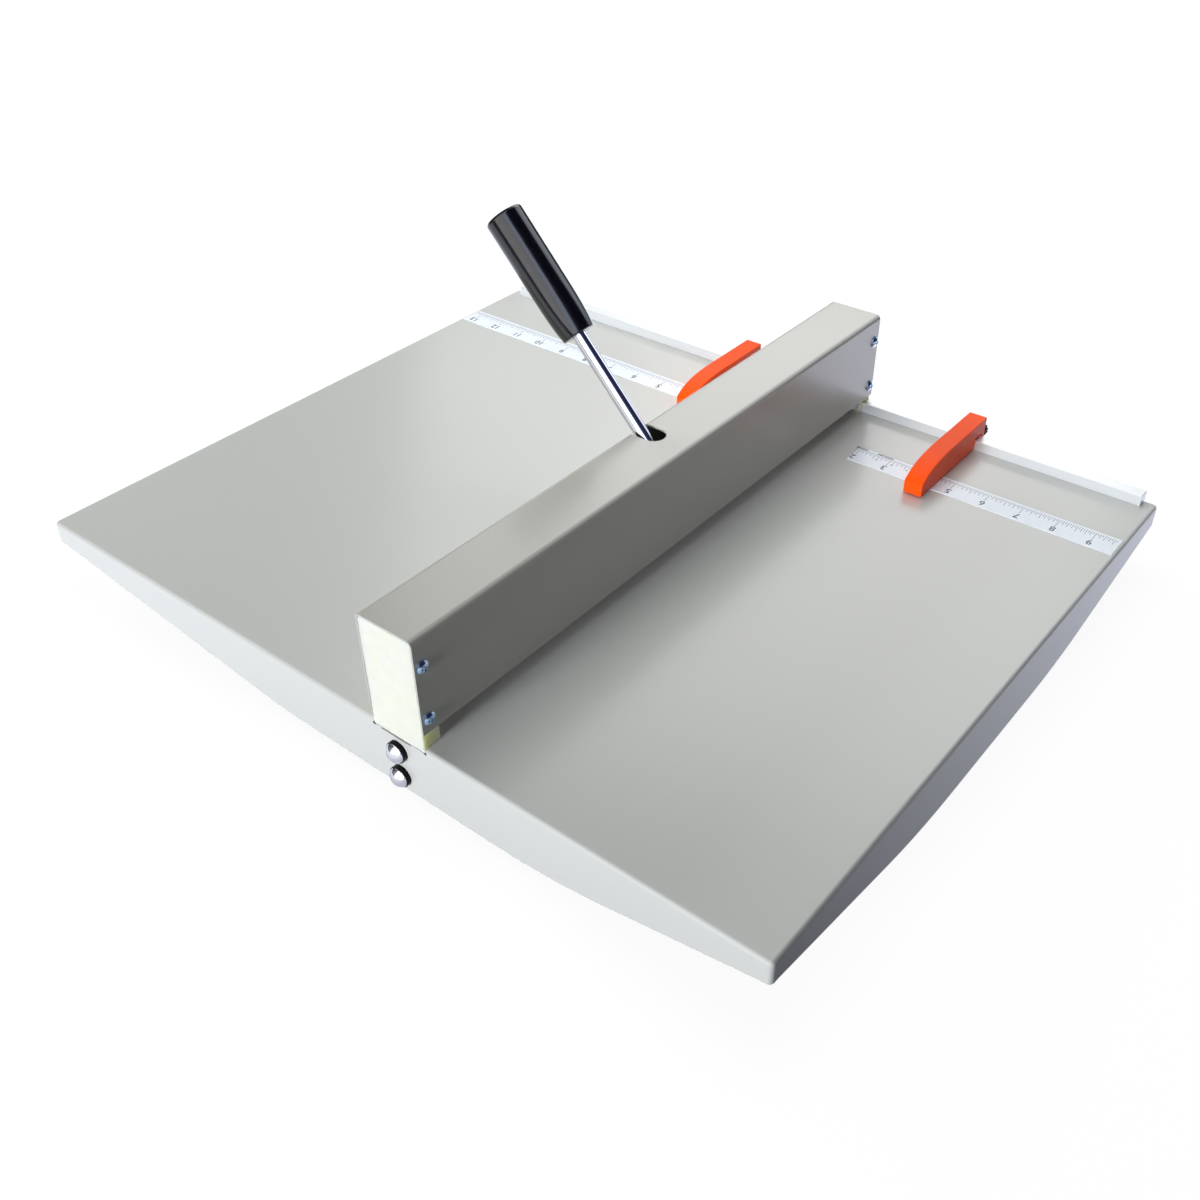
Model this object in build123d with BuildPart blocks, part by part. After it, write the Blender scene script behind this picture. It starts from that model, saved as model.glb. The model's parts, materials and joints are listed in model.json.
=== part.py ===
from build123d import *
import math
import os

# Desktop paper creasing machine, in millimetres.
# Origin: on the desk, under the middle of the table. +X is the way the sheet is fed,
# +Y runs along the crease towards the fence, +Z is up.

os.makedirs("parts", exist_ok=True)

# ---- Table pan: one folded sheet with four curved-down rims
table_length = 589.0
table_width = 480.0
pan_sheet = 1.5
pan_corner_radius = 3.0
pan_bend_radius = 2.5
rim_corner_depth = 15.6
rim_middle_depth = 42.5
rim_corner_land = 4.0  # level stretch of each rim beside a corner
rim_blend_radius = 400.0  # where a rim's slope meets its low stretch, at most
rim_land_radius = 40.0  # where a rim's slope meets its corner land, at most
long_rim_low_length = 215.0  # low stretch of the front and rear rims, under the crease
short_rim_low_length = 180.0  # low stretch of the left and right rims
ground_clearance = 4.5

# ---- Head: cover and end blocks over the crease line
crease_x = 49.0
cover_width = 42.4
cover_height = 76.4  # top of the cover over the table
cover_gap = 11.4  # open height under the sides of the cover
cover_sheet = 1.2
cover_bend_radius = 3.5
block_depth = 12.7  # along the crease
block_side_gap = 0.1  # to the cover, each side and on top
block_drop = 41.5  # foot of the block under the table top
block_top_radius = 2.6
block_edge = 0.4
sheet_path_height = 4.5  # open height under the rear block, over the table
notch_lip = 2.4  # depth of the notch in the rim
notch_gap = 0.3
relief_hole_radius = 1.2
lip_slot_width = 22.9  # shallow slot in the middle of the notch's lip
lip_slot_height = 1.2
lip_slot_offset = -2.7  # from the crease line
seat_gap = 0.1  # between pieces that are screwed face to face
thread_gap = 0.05  # a screw or pin in its own hole
close_gap = 0.15  # a screw in a through hole that places it
through_gap = 0.2  # a screw in a free through hole
blind_gap = 0.2  # under the end of a screw or pin in a blind hole
screw_edge_share = 0.35  # of a pan head's height, below its dome

# ---- Lever
lever_y = 1.0
lever_lean = 43.0  # degrees from upright at rest, towards -X
lever_swing = 45.0  # degrees from rest to the pressed end
shaft_height = 56.5  # shaft axis over the table
rod_diameter = 9.5
rod_stub_diameter = 8.0
rod_stub_depth = 4.0  # how far the stub passes the shaft axis
grip_start = 98.0  # along the lever, from the shaft axis
grip_length = 89.0
grip_diameter = 25.4
grip_neck_diameter = 21.8
grip_straight = 54.0
grip_crown = 1.6  # height of the domed end
grip_edge_radius = 2.2
grip_neck_radius = 1.2
grip_neck_slope = 0.16  # outwards, at the start of the neck's curve
grip_thread_depth = 26.0
slot_width = 16.4
slot_offset_y = 0.2  # middle of the slot from the lever's own plane
slot_top_reach = 1.0  # round end in the cover's top, past the crease line
slot_below_shaft = 7.0  # round end in the cover's side, under the shaft's axis

# ---- Press mechanism
stroke = 6.5
blade_lift = 6.0  # blade tip over the table at rest
blade_thickness = 1.5
blade_height = 20.7
blade_edge_share = 0.45  # rounding of the tip, of the blade's thickness
blade_end_gap = 0.8
beam_width = 20.0
beam_over_tip = 8.0  # beam's underside over the blade tip
beam_end_depth = 4.7  # how far each end runs in its block
beam_end_gap = 0.3
beam_foot_gap = 0.7  # under the beam's ends when it is pressed down
slide_gap = 0.1  # each side of the beam's ends
rebate_height = 13.0
clamp_bar_height = 12.6
clamp_bar_round = 2.0
blade_screw_diameter = 4.0
blade_screw_count = 5
blade_screw_inset = 26.5  # end screw from the end of the blade
blade_screw_head_diameter = 7.0
blade_screw_head_height = 4.0
blade_screw_socket = 3.0
blade_screw_socket_depth = 2.0
blade_screw_grip = 6.0  # thread in the beam
shaft_diameter = 14.0
shaft_fit = 0.05
shaft_chamfer = 0.6
journal_depth = 9.0
journal_end_gap = 0.2
cam_base_radius = 11.0
cam_run_out = 3.0  # degrees that the cam's nose runs past the swing
cam_steps = 8
cam_width = 10.0
cam_boss_step = 1.0  # boss below the cam's base circle
cam_boss_width = 8.0
cam_inset = 77.3  # middle of the cam from the inner face of the end block
cam_gap = 0.3
cam_nose_radius = 1.0
pad_length = 16.0
pad_thickness = 3.0
pad_proud = 1.0  # over the beam
pad_gap = 0.05  # each side of the pad in the beam
hub_diameter = 23.0
hub_width = 24.0
hub_flat = 0.5  # depth of the flat that the rod's shoulder sits on
hub_flat_gap = 0.5  # round the rod's shoulder
set_screw_diameter = 5.0
set_screw_socket = 2.5
set_screw_sunk = 0.4  # outer end under the surface round it
set_screw_gap = 0.1  # to the shaft

# ---- Return springs and their posts
spring_offset = 14.0  # from the crease line
spring_inset = 8.3  # from the inner face of the end block
spring_coil_radius = 2.6
spring_wire_radius = 0.6
spring_turns = 6.75
spring_pitch = 2.4
spring_steps = 8  # bends of the wire in each turn
post_diameter = 3.0
post_gap = 0.1
post_head_diameter = 5.0
post_head_height = 1.2
post_set_depth = 5.0
post_spare = 0.6  # between a spring's wire and the post's head
upper_post_drop = 9.1  # under the top of the end block
lower_post_rise = 19.0  # over the beam's underside

# ---- Anvil under the table, and the grooved die in it
anvil_width = 34.0
anvil_height = 38.5
anvil_wall = 3.0
port_diameter = 11.0
die_width = 20.0
die_height = 6.0
die_foot_width = 26.0
die_foot_height = 2.4
die_gap = 0.1
die_slot_gap = 0.3  # each side of the die, to the table sheet
crease_groove_width = 2.5
crease_groove_depth = 1.5
frame_bolt_diameter = 6.0
frame_bolt_length = 28.0
frame_bolt_offset = -2.0  # from the crease line
frame_bolt_drops = (13.0, 32.0)  # under the table top
bolt_dome_diameter = 13.0
bolt_dome_height = 4.5
bolt_dome_edge_share = 0.12  # of the head's height, below its dome
spacer_diameter = 14.0
spacer_thickness = 3.0

# ---- Cover screws
cover_screw_diameter = 4.0
cover_screw_length = 9.5
cover_screw_head_diameter = 8.2
cover_screw_head_height = 2.6
cover_screw_inset = 5.4  # from the end of the cover
cover_screw_rise = 9.6  # low screws over the cover's lower edge
cover_screw_drop = 19.1  # high screws under the cover's top
recess_length = 4.6
recess_width = 1.1
recess_depth = 1.3

# ---- Fence, rulers and paper stops
fence_width = 9.5
fence_height = 7.4
fence_end_inset = 9.8  # from the end of the table
fence_edge = 0.4
fence_block_gap = 0.2
fence_screw_count = 3
fence_screw_diameter = 3.0
fence_screw_margin = 18.0  # end screw from the end of the fence
fence_screw_length = 5.5
fence_screw_head_diameter = 5.4
fence_screw_head_height = 1.6
fence_screw_inset = 5.5  # from the rear edge of the table
ruler_to_fence = 47.0
ruler_width = 20.5
ruler_thickness = 0.3
ruler_end_inset = 2.8
ruler_right_start = 46.5  # past the crease line
ruler_left_start = 29.0  # before the crease line
stop_width = 13.8
stop_reach = 81.7  # nose from the fence
stop_nose_height = 9.6
stop_nose_slope = 0.95  # of the curved back where it leaves the nose
stop_height = 20.3
stop_crown_reach = 34.5  # where the curved back turns level, from the fence
stop_leg_thickness = 4.2
stop_leg_bottom = 1.0
stop_roof = 9.2  # inside height of the hook over the fence
stop_front_gap = 0.3
stop_back_gap = 0.5
stop_edge = 0.4
stop_lift = 0.3  # over the ruler
stop_right_x = 155.5
stop_left_x = -40.9
clamp_height = 5.0
clamp_screw_diameter = 4.0
clamp_tip_gap = 0.1
knob_diameter = 11.6
knob_thickness = 7.0
knob_neck_diameter = 8.0
knob_neck_length = 2.5
knob_edge = 0.4
knob_gap = 0.2
knob_flutes = 14
knob_flute_radius = 0.8

# ---- Foot rails and feet under the table
rail_spacing = 400.0
rail_end_inset = 25.0  # from the front and rear edges of the table
rail_crown_width = 30.0
rail_brim = 12.0
rail_sheet = 1.5
rail_bend_radius = 2.5
foot_height = 12.0
foot_diameter = 24.0
foot_taper = 1.5
foot_recess_diameter = 12.0
foot_recess_depth = 6.0
foot_inset = 20.0  # from the end of the rail
foot_edge_radius = 1.0
foot_screw_diameter = 5.0
foot_screw_head_diameter = 9.0
foot_screw_head_height = 3.0
foot_screw_end = 2.5  # past the sheet of the rail

# ---- Places worked out from the sizes above
cut_margin = 1.0  # how far a cutting shape passes the face that it starts on
table_top = ground_clearance + rim_middle_depth
table_under = table_top - pan_sheet
half_length = table_length / 2
half_width = table_width / 2
block_inner = half_width - block_depth
block_width = cover_width - 2 * (cover_sheet + block_side_gap)
block_step = table_top - notch_lip + seat_gap
block_bottom = table_top - block_drop
block_foot_outer = half_width - pan_sheet - seat_gap
cover_top = table_top + cover_height
cover_bottom = table_top + cover_gap
cover_inside_top = cover_top - cover_sheet
block_top = cover_inside_top - block_side_gap
shaft_z = table_top + shaft_height
blade_tip = table_top + blade_lift
beam_bottom = blade_tip + beam_over_tip
beam_end = block_inner + beam_end_depth
blade_half_length = block_inner - blade_end_gap
blade_screw_z = beam_bottom + rebate_height / 2
cam_y = block_inner - cam_inset
cam_boss_radius = cam_base_radius - cam_boss_step
set_screw_y = cam_y - (cam_width + cam_boss_width) / 2
pad_top = shaft_z - cam_base_radius - cam_gap
pad_bottom = pad_top - pad_thickness
beam_top = pad_top - pad_proud
cam_rise = stroke / math.radians(lever_swing)
rebate_x = crease_x - blade_thickness / 2
beam_side_x = crease_x + beam_width / 2
fence_inner = half_width - fence_width
fence_start = block_width / 2 + fence_block_gap
ruler_inner_y = fence_inner - ruler_to_fence - ruler_width
spring_y = block_inner - spring_inset
upper_post_z = block_top - upper_post_drop
lower_post_z = beam_bottom + lower_post_rise
cover_screw_places = (cover_bottom + cover_screw_rise, cover_top - cover_screw_drop)
die_bottom = table_top - die_height
anvil_bottom = table_under - anvil_height
rail_bottom = foot_height
rail_length = table_width - 2 * rail_end_inset
bolt_x = crease_x + frame_bolt_offset


# ---- Helpers
def across(y):
    """Plane square to the crease at y, drawn in X and Z. It extrudes towards -Y."""
    return Plane.XZ.offset(-y)


def along(x):
    """Plane parallel to the crease at x, drawn in Y and Z. It extrudes towards +X."""
    return Plane.YZ.offset(x)


def level(z):
    """Level plane at height z, drawn in X and Y. It extrudes upwards."""
    return Plane.XY.offset(z)


def half_section(origin, out, sideways):
    """Plane through a turned piece's axis: local X is its radius, local Y runs out along it."""
    normal = Vector(*sideways).cross(Vector(*out))
    return Plane(origin=origin, x_dir=sideways, z_dir=normal)


def span(low, high, width_centre, width):
    """Rectangle in the active sketch from a low to a high second coordinate."""
    with Locations((width_centre, (low + high) / 2)):
        Rectangle(width, high - low)


def save(piece, name):
    """Label a finished piece and write its STEP file."""
    piece.part.label = name
    export_step(piece.part, f"parts/{name}.step")


def spaced(count, reach):
    """Evenly spaced places from -reach to +reach."""
    return [reach * (2 * i / (count - 1) - 1) for i in range(count)]


# ---- Table pan
def bend_radius(most, room, run, drop):
    """Radius of a bend onto a slope: the named size, or less if it would outrun the room beside it."""
    turn = math.atan2(drop, run)
    return min(most, room / math.tan(turn / 2))


def under_rim(plane, half, low_start, low_end):
    """Sketch of all that is cut away under one rim's lower edge."""
    corner_edge = table_top - rim_corner_depth
    middle_edge = table_top - rim_middle_depth
    land = half - rim_corner_land
    outside = half + cut_margin
    below = middle_edge - 2 * cut_margin
    drop = corner_edge - middle_edge
    slopes = (low_start + land, land - low_end)
    land_room = 0.9 * (rim_corner_land + cut_margin)
    lands = [bend_radius(rim_land_radius, land_room, run, drop) for run in slopes]
    blends = [bend_radius(rim_blend_radius, run / 2, run, drop) for run in slopes]
    with BuildSketch(plane) as under:
        with BuildLine():
            FilletPolyline(
                (-outside, corner_edge),
                (-land, corner_edge),
                (low_start, middle_edge),
                (low_end, middle_edge),
                (land, corner_edge),
                (outside, corner_edge),
                radius=(lands[0], blends[0], blends[1], lands[1]),
            )
            Polyline((outside, corner_edge), (outside, below), (-outside, below), (-outside, corner_edge))
        make_face()
    return under.sketch


def cut_block_notch(end):
    """Cut, at one end of the crease line, the notch that an end block passes through."""
    notch_half = block_width / 2 + notch_gap
    lip = table_top - notch_lip
    inner = block_inner - notch_gap
    with BuildSketch(across(end * (half_width + cut_margin))) as notch:
        span(lip, table_top + cut_margin, crease_x, 2 * notch_half)
    extrude(notch.sketch, amount=end * (half_width + cut_margin - inner), mode=Mode.SUBTRACT)
    with BuildSketch(across(end * (half_width + cut_margin))) as rim_holes:
        span(lip - lip_slot_height, lip + cut_margin, crease_x + lip_slot_offset, lip_slot_width)
        with Locations((crease_x - notch_half, lip), (crease_x + notch_half, lip)):
            Circle(relief_hole_radius)
        for drop in frame_bolt_drops:
            with Locations((bolt_x, table_top - drop)):
                Circle(frame_bolt_diameter / 2 + through_gap)
    extrude(rim_holes.sketch, amount=end * (pan_sheet + 2 * cut_margin), mode=Mode.SUBTRACT)
    with BuildSketch(level(table_under - cut_margin)) as relief_holes:
        with Locations((crease_x - notch_half, end * inner), (crease_x + notch_half, end * inner)):
            Circle(relief_hole_radius)
    extrude(relief_holes.sketch, amount=pan_sheet + 2 * cut_margin, mode=Mode.SUBTRACT)


def fence_screw_places(side):
    """X of the screws in the left (-1) or right (+1) fence."""
    inner = crease_x + side * (fence_start + fence_screw_margin)
    outer = side * (half_length - fence_end_inset - fence_screw_margin)
    step = (outer - inner) / (fence_screw_count - 1)
    return [inner + step * i for i in range(fence_screw_count)]


def make_table_pan():
    depth = rim_middle_depth + cut_margin
    with BuildPart() as table_pan:
        with BuildSketch(level(table_top)):
            RectangleRounded(table_length, table_width, pan_corner_radius)
        extrude(amount=-depth)
        fillet(faces().sort_by(Axis.Z)[-1].edges(), pan_bend_radius)
        with BuildSketch(level(table_under)):
            inner_radius = pan_corner_radius - pan_sheet
            RectangleRounded(table_length - 2 * pan_sheet, table_width - 2 * pan_sheet, inner_radius)
        extrude(amount=-depth, mode=Mode.SUBTRACT)
        ceiling = faces().filter_by(Axis.Z).filter_by_position(Axis.Z, table_under - 0.1, table_under + 0.1)
        fillet(ceiling.edges(), pan_bend_radius - pan_sheet)
        rim_cut = pan_sheet + 2 * cut_margin
        long_low = long_rim_low_length / 2
        short_low = short_rim_low_length / 2
        for end in (-1, 1):
            face = across(end * (half_width + cut_margin))
            under = under_rim(face, half_length, crease_x - long_low, crease_x + long_low)
            extrude(under, amount=end * rim_cut, mode=Mode.SUBTRACT)
        for side in (-1, 1):
            face = along(side * (half_length + cut_margin))
            under = under_rim(face, half_width, -short_low, short_low)
            extrude(under, amount=-side * rim_cut, mode=Mode.SUBTRACT)
        with BuildSketch(level(table_under - cut_margin)):
            with Locations((crease_x, 0)):
                Rectangle(die_width + 2 * die_slot_gap, 2 * block_inner)
            for side in (-1, 1):
                for x in fence_screw_places(side):
                    with Locations((x, half_width - fence_screw_inset)):
                        Circle(fence_screw_diameter / 2 + through_gap)
        extrude(amount=pan_sheet + 2 * cut_margin, mode=Mode.SUBTRACT)
        for end in (-1, 1):
            cut_block_notch(end)
    save(table_pan, "table_pan")


# ---- Head cover and end blocks
def channel_profile(width, bottom, top, radius):
    """In the active sketch, a rectangle over the crease line with rounded top corners."""
    span(bottom, top, crease_x, width)
    fillet(vertices().group_by(Axis.Y)[-1], radius)


def make_head_cover():
    outer_x = crease_x - cover_width / 2
    round_x = crease_x + slot_top_reach - slot_width / 2
    round_z = shaft_z - slot_below_shaft + slot_width / 2
    slot_y = lever_y + slot_offset_y
    with BuildPart() as head_cover:
        with BuildSketch(across(half_width)):
            channel_profile(cover_width, cover_bottom, cover_top, cover_bend_radius)
        extrude(amount=table_width)
        with BuildSketch(across(half_width + cut_margin)):
            inner_radius = cover_bend_radius - cover_sheet
            inner_width = cover_width - 2 * cover_sheet
            channel_profile(inner_width, cover_bottom - cut_margin, cover_inside_top, inner_radius)
        extrude(amount=table_width + 2 * cut_margin, mode=Mode.SUBTRACT)
        with BuildSketch(level(cover_top + cut_margin)):
            with Locations(((outer_x - cut_margin + round_x) / 2, slot_y)):
                Rectangle(round_x - outer_x + cut_margin, slot_width)
            with Locations((round_x, slot_y)):
                Circle(slot_width / 2)
        extrude(amount=-(cover_bend_radius + 2 * cut_margin), mode=Mode.SUBTRACT)
        with BuildSketch(along(outer_x - cut_margin)):
            span(round_z, cover_top + cut_margin, slot_y, slot_width)
            with Locations((slot_y, round_z)):
                Circle(slot_width / 2)
        extrude(amount=cover_sheet + 2 * cut_margin, mode=Mode.SUBTRACT)
        with BuildSketch(along(outer_x - cut_margin)):
            for end in (-1, 1):
                for z in cover_screw_places:
                    with Locations((end * (half_width - cover_screw_inset), z)):
                        Circle(cover_screw_diameter / 2 + close_gap)
        extrude(amount=cover_width + 2 * cut_margin, mode=Mode.SUBTRACT)
    save(head_cover, "head_cover")


def cut_block_inner_face(end):
    """Cut the beam's groove, the shaft's bearing, the post holes and the bolt holes."""
    groove_bottom = beam_bottom - stroke - beam_foot_gap
    with BuildSketch(across(end * block_inner)) as groove:
        span(groove_bottom, beam_top + beam_end_gap, crease_x, beam_width + 2 * slide_gap)
    extrude(groove.sketch, amount=-end * (beam_end_depth + beam_end_gap), mode=Mode.SUBTRACT)
    with BuildSketch(across(end * block_inner)) as bearing:
        with Locations((crease_x, shaft_z)):
            Circle(shaft_diameter / 2 + shaft_fit)
    extrude(bearing.sketch, amount=-end * journal_depth, mode=Mode.SUBTRACT)
    with BuildSketch(across(end * block_inner)) as post_holes:
        for side in (-1, 1):
            with Locations((crease_x + side * spring_offset, upper_post_z)):
                Circle(post_diameter / 2 + thread_gap)
    extrude(post_holes.sketch, amount=-end * (post_set_depth + blind_gap), mode=Mode.SUBTRACT)
    with BuildSketch(across(end * (block_inner - cut_margin))) as bolt_holes:
        for drop in frame_bolt_drops:
            with Locations((bolt_x, table_top - drop)):
                Circle(frame_bolt_diameter / 2 + through_gap)
    extrude(bolt_holes.sketch, amount=-end * (block_depth + 2 * cut_margin), mode=Mode.SUBTRACT)


def make_end_block(name, end):
    """End block at the front (-1) or rear (+1): bearing, beam guide and foot in one."""
    with BuildPart() as end_block:
        with BuildSketch(across(end * half_width)):
            channel_profile(block_width, block_step, block_top, block_top_radius)
        extrude(amount=end * block_depth)
        chamfer(faces().sort_by(Axis.Y)[-1 if end > 0 else 0].edges(), block_edge)
        with BuildSketch(across(end * block_foot_outer)):
            span(block_bottom, block_step, crease_x, block_width)
        extrude(amount=end * (block_foot_outer - block_inner))
        cut_block_inner_face(end)
        for side in (-1, 1):
            with BuildSketch(along(crease_x + side * block_width / 2)):
                for z in cover_screw_places:
                    with Locations((end * (half_width - cover_screw_inset), z)):
                        Circle(cover_screw_diameter / 2 + thread_gap)
            extrude(amount=-side * (cover_screw_length - cover_sheet), mode=Mode.SUBTRACT)
        if end > 0:
            # a sheet that lies against the fence passes under the block here
            relief_depth = fence_inner + notch_gap - block_inner
            with BuildSketch(across(block_inner)):
                span(table_top - notch_gap, table_top + sheet_path_height, crease_x, block_width)
            extrude(amount=-relief_depth, mode=Mode.SUBTRACT)
    save(end_block, name)


# ---- Screws
def turned_screw(seat, out, sideways, shank_radius, length, head_radius, head_height, edge_share):
    """Pan-head screw in the active part: seat is the point under its head, out points out of it."""
    with BuildSketch(half_section(seat, out, sideways)) as section:
        with BuildLine():
            edge = head_height * edge_share
            Polyline(
                (0, head_height),
                (0, -length),
                (shank_radius, -length),
                (shank_radius, 0),
                (head_radius, 0),
                (head_radius, edge),
            )
            TangentArc((0, head_height), (head_radius, edge), tangent=(1, 0))
        make_face()
    revolve(section.sketch, axis=Axis(seat, out))


def cross_recess(seat, out, sideways, head_height):
    """Cross recess in the head of a screw in the active part."""
    top = Vector(*seat) + Vector(*out) * head_height
    with BuildSketch(Plane(origin=top, x_dir=sideways, z_dir=out)) as cross:
        Rectangle(recess_length, recess_width)
        Rectangle(recess_width, recess_length)
    extrude(cross.sketch, amount=-recess_depth, mode=Mode.SUBTRACT)


def make_cover_screws():
    with BuildPart() as cover_screws:
        for side in (-1, 1):
            for end in (-1, 1):
                for z in cover_screw_places:
                    seat = (crease_x + side * cover_width / 2, end * (half_width - cover_screw_inset), z)
                    out = (side, 0, 0)
                    turned_screw(
                        seat,
                        out,
                        (0, 1, 0),
                        cover_screw_diameter / 2,
                        cover_screw_length,
                        cover_screw_head_diameter / 2,
                        cover_screw_head_height,
                        screw_edge_share,
                    )
                    cross_recess(seat, out, (0, 1, 0), cover_screw_head_height)
    save(cover_screws, "cover_screws")


def frame_bolt_seats():
    """End (-1 front, +1 rear) and seat of each frame bolt, on the outer face of its spacer."""
    seat_y = half_width + spacer_thickness
    return [(end, (bolt_x, end * seat_y, table_top - drop)) for end in (-1, 1) for drop in frame_bolt_drops]


def make_frame_bolts():
    with BuildPart() as frame_bolts:
        for end, seat in frame_bolt_seats():
            turned_screw(
                seat,
                (0, end, 0),
                (1, 0, 0),
                frame_bolt_diameter / 2,
                frame_bolt_length,
                bolt_dome_diameter / 2,
                bolt_dome_height,
                bolt_dome_edge_share,
            )
    save(frame_bolts, "frame_bolts")


def make_bolt_spacers():
    with BuildPart() as bolt_spacers:
        for end in (-1, 1):
            with BuildSketch(across(end * (half_width + spacer_thickness))):
                for drop in frame_bolt_drops:
                    with Locations((bolt_x, table_top - drop)):
                        Circle(spacer_diameter / 2)
                        Circle(frame_bolt_diameter / 2 + through_gap, mode=Mode.SUBTRACT)
            extrude(amount=end * spacer_thickness)
    save(bolt_spacers, "bolt_spacers")


# ---- Anvil beam and die
def make_anvil_beam():
    """Extruded beam: a T-slot for the die on top, a hollow below, and two bolt ports in it."""
    web_bottom = die_bottom - die_gap - anvil_wall
    foot_top = die_bottom + die_foot_height + die_gap
    hollow_width = anvil_width - 2 * anvil_wall
    ports = [(bolt_x, table_top - drop) for drop in frame_bolt_drops]
    with BuildPart() as anvil_beam:
        with BuildSketch(across(block_inner)):
            span(anvil_bottom, table_under, crease_x, anvil_width)
            with Locations((crease_x, (anvil_bottom + anvil_wall + web_bottom) / 2)):
                hollow_height = web_bottom - anvil_bottom - anvil_wall
                Rectangle(hollow_width, hollow_height, mode=Mode.SUBTRACT)
            with Locations(*ports):
                Circle(port_diameter / 2)
            with Locations(*ports):
                Circle(frame_bolt_diameter / 2 + thread_gap, mode=Mode.SUBTRACT)
        extrude(amount=2 * block_inner)
        with BuildSketch(across(block_inner + cut_margin)):
            span(die_bottom - die_gap, foot_top, crease_x, die_foot_width + 2 * die_gap)
            span(foot_top - cut_margin, table_under + cut_margin, crease_x, die_width + 2 * die_gap)
        extrude(amount=2 * (block_inner + cut_margin), mode=Mode.SUBTRACT)
    save(anvil_beam, "anvil_beam")


def make_crease_die():
    """Strip with the crease groove on top and a wide foot that slides into the anvil."""
    half_die = block_inner - die_gap
    with BuildPart() as crease_die:
        with BuildSketch(across(half_die)):
            span(die_bottom, table_top, crease_x, die_width)
            span(die_bottom, die_bottom + die_foot_height, crease_x, die_foot_width)
        extrude(amount=2 * half_die)
        with BuildSketch(across(half_die + cut_margin)):
            groove_floor = table_top - crease_groove_depth
            span(groove_floor, table_top + cut_margin, crease_x, crease_groove_width)
        extrude(amount=2 * (half_die + cut_margin), mode=Mode.SUBTRACT)
    save(crease_die, "crease_die")


# ---- Press beam, blade and clamp bar
def blade_screw_places():
    """Y and Z of the screws that hold the blade, in a plane parallel to the crease."""
    reach = blade_half_length - blade_screw_inset
    return [(y, blade_screw_z) for y in spaced(blade_screw_count, reach)]


def make_press_beam():
    rebate_centre = (rebate_x + beam_side_x + cut_margin) / 2
    rebate_width = beam_side_x + cut_margin - rebate_x
    with BuildPart() as press_beam:
        with BuildSketch(across(beam_end)):
            span(beam_bottom, beam_top, crease_x, beam_width)
        extrude(amount=2 * beam_end)
        with BuildSketch(across(blade_half_length + seat_gap)):
            span(beam_bottom - cut_margin, beam_bottom + rebate_height, rebate_centre, rebate_width)
        extrude(amount=2 * (blade_half_length + seat_gap), mode=Mode.SUBTRACT)
        for end in (-1, 1):
            with BuildSketch(along(crease_x - beam_width / 2 - cut_margin)):
                span(pad_bottom, beam_top + cut_margin, end * cam_y, pad_length)
            extrude(amount=beam_width + 2 * cut_margin, mode=Mode.SUBTRACT)
        with BuildSketch(along(rebate_x)):
            with Locations(*blade_screw_places()):
                Circle(blade_screw_diameter / 2 + thread_gap)
        extrude(amount=-(blade_screw_grip + blind_gap), mode=Mode.SUBTRACT)
        for side in (-1, 1):
            with BuildSketch(along(crease_x + side * beam_width / 2)):
                for end in (-1, 1):
                    with Locations((end * spring_y, lower_post_z)):
                        Circle(post_diameter / 2 + thread_gap)
            extrude(amount=-side * (post_set_depth + blind_gap), mode=Mode.SUBTRACT)
    save(press_beam, "press_beam")


def make_wear_pad(name, end):
    with BuildPart() as wear_pad:
        with BuildSketch(level(pad_bottom)):
            with Locations((crease_x, end * cam_y)):
                Rectangle(beam_width, pad_length - 2 * pad_gap)
        extrude(amount=pad_thickness)
    save(wear_pad, name)


def make_crease_blade():
    with BuildPart() as crease_blade:
        with BuildSketch(across(blade_half_length)):
            span(blade_tip, blade_tip + blade_height, crease_x, blade_thickness)
            fillet(vertices().group_by(Axis.Y)[0], blade_edge_share * blade_thickness)
        extrude(amount=2 * blade_half_length)
        with BuildSketch(along(rebate_x - cut_margin)):
            with Locations(*blade_screw_places()):
                Circle(blade_screw_diameter / 2 + close_gap)
        extrude(amount=blade_thickness + 2 * cut_margin, mode=Mode.SUBTRACT)
    save(crease_blade, "crease_blade")


def make_blade_clamp():
    """Bar that holds the blade in the beam's rebate, and its sunk cap screws."""
    bar_inner = crease_x + blade_thickness / 2
    bar_width = beam_side_x - bar_inner
    head_seat = beam_side_x - blade_screw_head_height - blind_gap
    with BuildPart() as blade_clamp_bar:
        with BuildSketch(across(blade_half_length)):
            span(beam_bottom, beam_bottom + clamp_bar_height, (bar_inner + beam_side_x) / 2, bar_width)
            fillet(vertices().group_by(Axis.Y)[0].group_by(Axis.X)[-1], clamp_bar_round)
        extrude(amount=2 * blade_half_length)
        with BuildSketch(along(bar_inner - cut_margin)):
            with Locations(*blade_screw_places()):
                Circle(blade_screw_diameter / 2 + close_gap)
        extrude(amount=bar_width + 2 * cut_margin, mode=Mode.SUBTRACT)
        with BuildSketch(along(head_seat)):
            with Locations(*blade_screw_places()):
                Circle(blade_screw_head_diameter / 2 + through_gap)
        extrude(amount=blade_screw_head_height + cut_margin, mode=Mode.SUBTRACT)
    save(blade_clamp_bar, "blade_clamp_bar")
    with BuildPart() as blade_clamp_screws:
        with BuildSketch(along(head_seat)):
            with Locations(*blade_screw_places()):
                Circle(blade_screw_head_diameter / 2)
        extrude(amount=blade_screw_head_height)
        with BuildSketch(along(head_seat)):
            with Locations(*blade_screw_places()):
                Circle(blade_screw_diameter / 2)
        extrude(amount=-(head_seat - rebate_x + blade_screw_grip))
        with BuildSketch(along(head_seat + blade_screw_head_height)):
            with Locations(*blade_screw_places()):
                RegularPolygon(blade_screw_socket / 2, 6, major_radius=False)
        extrude(amount=-blade_screw_socket_depth, mode=Mode.SUBTRACT)
    save(blade_clamp_screws, "blade_clamp_screws")


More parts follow.
